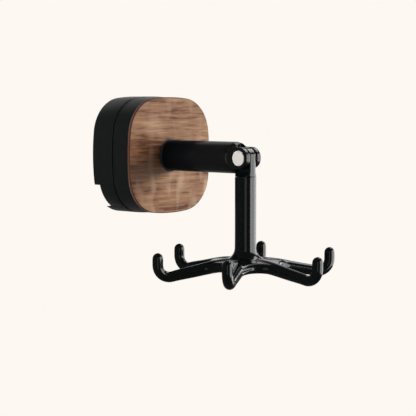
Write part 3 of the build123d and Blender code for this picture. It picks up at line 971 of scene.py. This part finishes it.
class Neighbours:
    """Which points of a mesh share an edge, for taking means over them."""

    def __init__(self, mesh: bpy.types.Mesh) -> None:
        """Read a mesh's edges.

        Args:
            mesh: The mesh.
        """
        ends = np.empty(len(mesh.edges) * 2, dtype=np.int64)
        mesh.edges.foreach_get("vertices", ends)
        self.first, self.second = ends.reshape(-1, 2).T
        self.count = len(mesh.vertices)
        self.degree = np.bincount(ends, minlength=self.count)

    def mean(self, values: np.ndarray) -> np.ndarray:
        """Take the mean of each point's neighbours.

        Args:
            values: One value for each point.

        Returns:
            One mean for each point.
        """
        total = np.bincount(self.first, values[self.second], self.count)
        total += np.bincount(self.second, values[self.first], self.count)
        return total / self.degree


@dataclass
class Claw:
    """The stem and its six hooks as one soft-edged moulding."""

    voxel: float = 0.45 * MM
    rounds: int = 14
    last_rounds: int = 6
    sharp_turn: float = 50
    shrink: float = 0.08 * MM

    stem_x: float = 0.0
    stem_y: float = -97 * MM
    stem_radius: float = 6.6 * MM
    seat_radius: float = 5.5 * MM
    true_low: float = -56 * MM
    true_high: float = -48 * MM
    cut: float = -30 * MM
    top: float = -11.75 * MM

    bore: float = 6.45 * MM
    bore_clear: float = 2.2
    hub_reach: float = 42 * MM
    hub_top: float = -52 * MM
    hub_foot: float = -70.4 * MM
    crease_low: float = 0.024 * MM
    crease_high: float = 0.06 * MM
    crease_passes: int = 3
    bend_rounds: int = 3
    spread_rounds: int = 6
    spread_share: float = 0.92
    crease_rounds: int = 40

    def build(self, bench: Bench) -> None:
        """Model the moulding: a soft-edged claw under the stem's clean tube.

        Args:
            bench: Where the piece is handed over.
        """
        claw = bench.copy("stem_claw", "claw_moulding")
        even_skin(claw, self.voxel)
        smooth(claw, self.rounds)
        for _ in range(self.crease_passes):
            self.soften_creases(claw)
        smooth(claw, self.last_rounds)
        swell(claw, self.shrink)
        self.true_stem(claw)
        self.stand_tube(claw)
        shade_round(claw, self.sharp_turn)
        bench.hand_over(claw, "stem_claw")

    def out_from_axis(self, place: Vector) -> Vector:
        """The level way from the stem's axis to a place."""
        return Vector((place.x - self.stem_x, place.y - self.stem_y))

    def set_out(self, point: bpy.types.MeshVertex, out: Vector) -> None:
        """Put a point at a level way from the stem's axis, at its own height."""
        point.co.x = self.stem_x + out.x
        point.co.y = self.stem_y + out.y

    def true_stem(self, claw: bpy.types.Object) -> None:
        """Bring the stem's skin back to a true cylinder above its flare.

        Args:
            claw: The claw.
        """
        for point in claw.data.vertices:
            out = self.out_from_axis(point.co)
            if point.co.z > self.true_low and out.length > self.seat_radius:
                share = eased(min(1.0, (point.co.z - self.true_low) / (self.true_high - self.true_low)))
                out *= 1 + share * (self.stem_radius / out.length - 1)
                self.set_out(point, out)

    def stand_tube(self, claw: bpy.types.Object) -> None:
        """Cut the stem off below its top, and draw a clean tube up from the cut to a sharp rim.

        Args:
            claw: The claw.
        """
        with editing(claw):
            bpy.ops.mesh.select_mode(type="EDGE")
            bpy.ops.mesh.select_all(action="SELECT")
            bpy.ops.mesh.bisect(plane_co=(0, 0, self.cut), plane_no=(0, 0, 1), use_fill=False, clear_outer=True)
            bpy.ops.mesh.select_all(action="DESELECT")
            bpy.ops.mesh.select_non_manifold(
                extend=False, use_wire=False, use_multi_face=False, use_non_contiguous=False
            )
            bpy.ops.mesh.extrude_region_move(TRANSFORM_OT_translate={"value": (0, 0, self.top - self.cut)})
            bpy.ops.mesh.bridge_edge_loops()
        for point in claw.data.vertices:
            out = self.out_from_axis(point.co)
            if point.co.z > self.top - self.voxel and out.length < self.seat_radius:
                self.set_out(point, out * (self.seat_radius / out.length))

    def soften_creases(self, claw: bpy.types.Object) -> None:
        """Round the crotches and edges about the hub, and leave the rods as they are.

        Args:
            claw: The claw.
        """
        mesh = claw.data
        places = np.empty(len(mesh.vertices) * 3)
        mesh.vertices.foreach_get("co", places)
        places = places.reshape(-1, 3)
        near = Neighbours(mesh)
        share = self.crease_shares(places, near)
        for _ in range(self.crease_rounds):
            for axis in range(3):
                column = places[:, axis]
                places[:, axis] = column + SMOOTH_STEP * share * (near.mean(column) - column)
        mesh.vertices.foreach_set("co", places.ravel())
        mesh.update()

    def crease_shares(self, places: np.ndarray, near: Neighbours) -> np.ndarray:
        """Find how much each point takes part in the rounding.

        Args:
            places: The points' places, one to a row.
            near: Which points share an edge.

        Returns:
            A share from 0 to 1 for each point, which fades out round the creases.
        """
        means = np.stack([near.mean(places[:, axis]) for axis in range(3)], axis=1)
        bend = np.linalg.norm(means - places, axis=1)
        for _ in range(self.bend_rounds):
            bend = near.mean(bend)
        share = np.clip((bend - self.crease_low) / (self.crease_high - self.crease_low), 0, 1)
        reach = np.hypot(places[:, 0] - self.stem_x, places[:, 1] - self.stem_y)
        inside = (reach > self.bore) & (reach < self.hub_reach) & (places[:, 2] < self.hub_top)
        share *= inside & ((places[:, 2] > self.hub_foot) | (reach > self.bore_clear * self.bore))
        for _ in range(self.spread_rounds):
            share = np.maximum(share, self.spread_share * near.mean(share))
        return share


@dataclass(frozen=True)
class Softbox:
    """A flat lamp: its direction in degrees, its distance and size in metres and its radiance, where 1 is white.

    The azimuth is 0 straight out from the wall and 90 to the right, and the lift is the angle above the level.
    """

    name: str
    azimuth: float
    lift: float
    far: float
    wide: float
    tall: float
    bright: float
    mirrored: bool = True
    lighting: bool = True


# Each row gives the name, azimuth, lift, distance, width, height and radiance.
BOXES = (
    Softbox("key_mirrored", 50, 0, 1.2, 2.4, 1.1, 3.7, lighting=False),
    Softbox("key_edge", 13, 0, 1.2, 0.4, 1.1, 1.4, lighting=False),
    Softbox("key", 50, 14, 1.3, 0.9, 0.55, 12.0, mirrored=False),
    Softbox("upper_right", 88, 45, 1.3, 0.8, 0.4, 3.8),
    Softbox("behind_camera", -47, 2, 1.4, 0.5, 0.9, 0.6, lighting=False),
    Softbox("left", -108, 10, 1.4, 1.3, 1.3, 3.9, mirrored=False),
    Softbox("back", 185, 25, 1.4, 1.2, 1.0, 1.6, mirrored=False),
    Softbox("pale_back", 132, 4, 1.4, 1.5, 0.65, 0.75, lighting=False),
    Softbox("pale_top", 146, 32, 1.4, 1.3, 0.75, 0.36, lighting=False),
    Softbox("pale_low", 140, -26, 1.4, 1.3, 0.6, 0.16, lighting=False),
)


def outwards(azimuth: float, lift: float) -> Vector:
    """The direction at an azimuth from straight out of the wall and a lift above the level, in degrees."""
    a, e = math.radians(azimuth), math.radians(lift)
    return Vector((math.sin(a) * math.cos(e), -math.cos(a) * math.cos(e), math.sin(e)))


@dataclass
class Studio:
    """The camera, the softboxes and the pale surroundings."""

    target: Vector = field(default_factory=lambda: Vector((0, -0.06, 0)))
    azimuth: float = -47.793
    lift: float = 4.56
    distance: float = 0.858529
    shift_right: float = 0.004222
    shift_up: float = -0.032842
    lens: float = 116.966
    sensor: float = 36

    backdrop: tuple = rgb(253, 248, 242)
    sky: tuple = rgb(250, 251, 255)
    fill: float = 0.05
    dim: float = 0.07

    floor_place: tuple = (0, -0.1, -1.0)
    floor_sides: int = 96
    floor_rough: float = 0.9
    floor_glow: float = 0.75
    floor_near: float = 0.4
    floor_far: float = 2.0

    def camera(self) -> None:
        """Set the camera up at the viewpoint of the reference picture."""
        a = math.radians(self.azimuth)
        back = outwards(self.azimuth, self.lift)
        right = Vector((math.cos(a), math.sin(a), 0))
        up = back.cross(right)
        place = self.target + right * self.shift_right + up * self.shift_up + back * self.distance
        data = bpy.data.cameras.new("camera")
        data.lens = self.lens
        data.sensor_width = self.sensor
        camera = bpy.data.objects.new("camera", data)
        camera.matrix_world = Matrix.Translation(place) @ Matrix((right, up, back)).transposed().to_4x4()
        bpy.context.scene.collection.objects.link(camera)
        bpy.context.scene.camera = camera

    def world(self) -> None:
        """Surround the object: pale to the camera, a plain fill to matt surfaces, dim to glossy ones."""
        world = bpy.data.worlds.new("studio")
        bpy.context.scene.world = world
        world.use_nodes = True
        n = Tree(world.node_tree)
        seen, mirrored, felt = (
            n.add("ShaderNodeBackground", Color=(*colour, 1), Strength=strength).outputs[0]
            for colour, strength in ((self.backdrop, 1.0), (self.backdrop, self.dim), (self.sky, self.fill))
        )
        glossy, open_rays = n.rays()
        n.add("ShaderNodeOutputWorld", Surface=n.either(open_rays, n.either(glossy, felt, mirrored), seen))

    def hang(self, box: Softbox) -> None:
        """Hang a flat lamp that faces the object.

        Args:
            box: The lamp.
        """
        out = outwards(box.azimuth, box.lift)
        data = bpy.data.lights.new(box.name, "AREA")
        data.shape = "RECTANGLE"
        data.size = box.wide
        data.size_y = box.tall
        data.energy = box.bright * math.pi * box.wide * box.tall
        lamp = bpy.data.objects.new(box.name, data)
        turn = out.to_track_quat("Z", "Y").to_matrix().to_4x4()
        lamp.matrix_world = Matrix.Translation(self.target + out * box.far) @ turn
        lamp.visible_glossy = box.mirrored
        lamp.visible_diffuse = box.lighting
        lamp.visible_camera = False
        bpy.context.scene.collection.objects.link(lamp)

    def floor(self) -> None:
        """Lay a pale floor well below: dim in mirrored light as the world is, and lost in the backdrop far out."""
        bpy.ops.mesh.primitive_circle_add(
            vertices=self.floor_sides, radius=self.floor_far, fill_type="NGON", location=self.floor_place
        )
        floor = bpy.context.object
        floor.name = "floor"
        n = Nodes("pale_floor")
        n.wear(Base_Color=(*self.backdrop, 1), Roughness=self.floor_rough, Specular_IOR_Level=0.0)
        glow, faint = (
            n.add("ShaderNodeEmission", Color=(*self.backdrop, 1), Strength=strength).outputs[0]
            for strength in (1.0, self.dim)
        )
        glossy, open_rays = n.rays()
        reach = n.add("ShaderNodeVectorMath", {"operation": "LENGTH"}, Vector=n.place).outputs["Value"]
        share = n.span(reach, (self.floor_glow, 1), self.floor_near, self.floor_far)
        lit = n.either(n.math("MULTIPLY", open_rays, share), n.shader.outputs[0], glow)
        n.feed(n.output.inputs["Surface"], n.either(glossy, lit, faint))
        floor.data.materials.append(n.material)

    def build(self) -> None:
        """Set up the whole studio."""
        self.camera()
        self.world()
        for box in BOXES:
            self.hang(box)
        self.floor()


def main() -> None:
    """Build and dress the whole object in order."""
    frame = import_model()
    bpy.context.scene.view_settings.view_transform = "Standard"
    bpy.ops.object.select_all(action="DESELECT")
    wardrobe = Wardrobe()
    Studio().build()
    wardrobe.paint_frame(frame)
    bench = Bench(frame, wardrobe)
    for maker in (Mount(), Swivel(), Cup(), Claw()):
        maker.build(bench)
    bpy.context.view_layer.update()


if __name__ == "__main__":
    main()
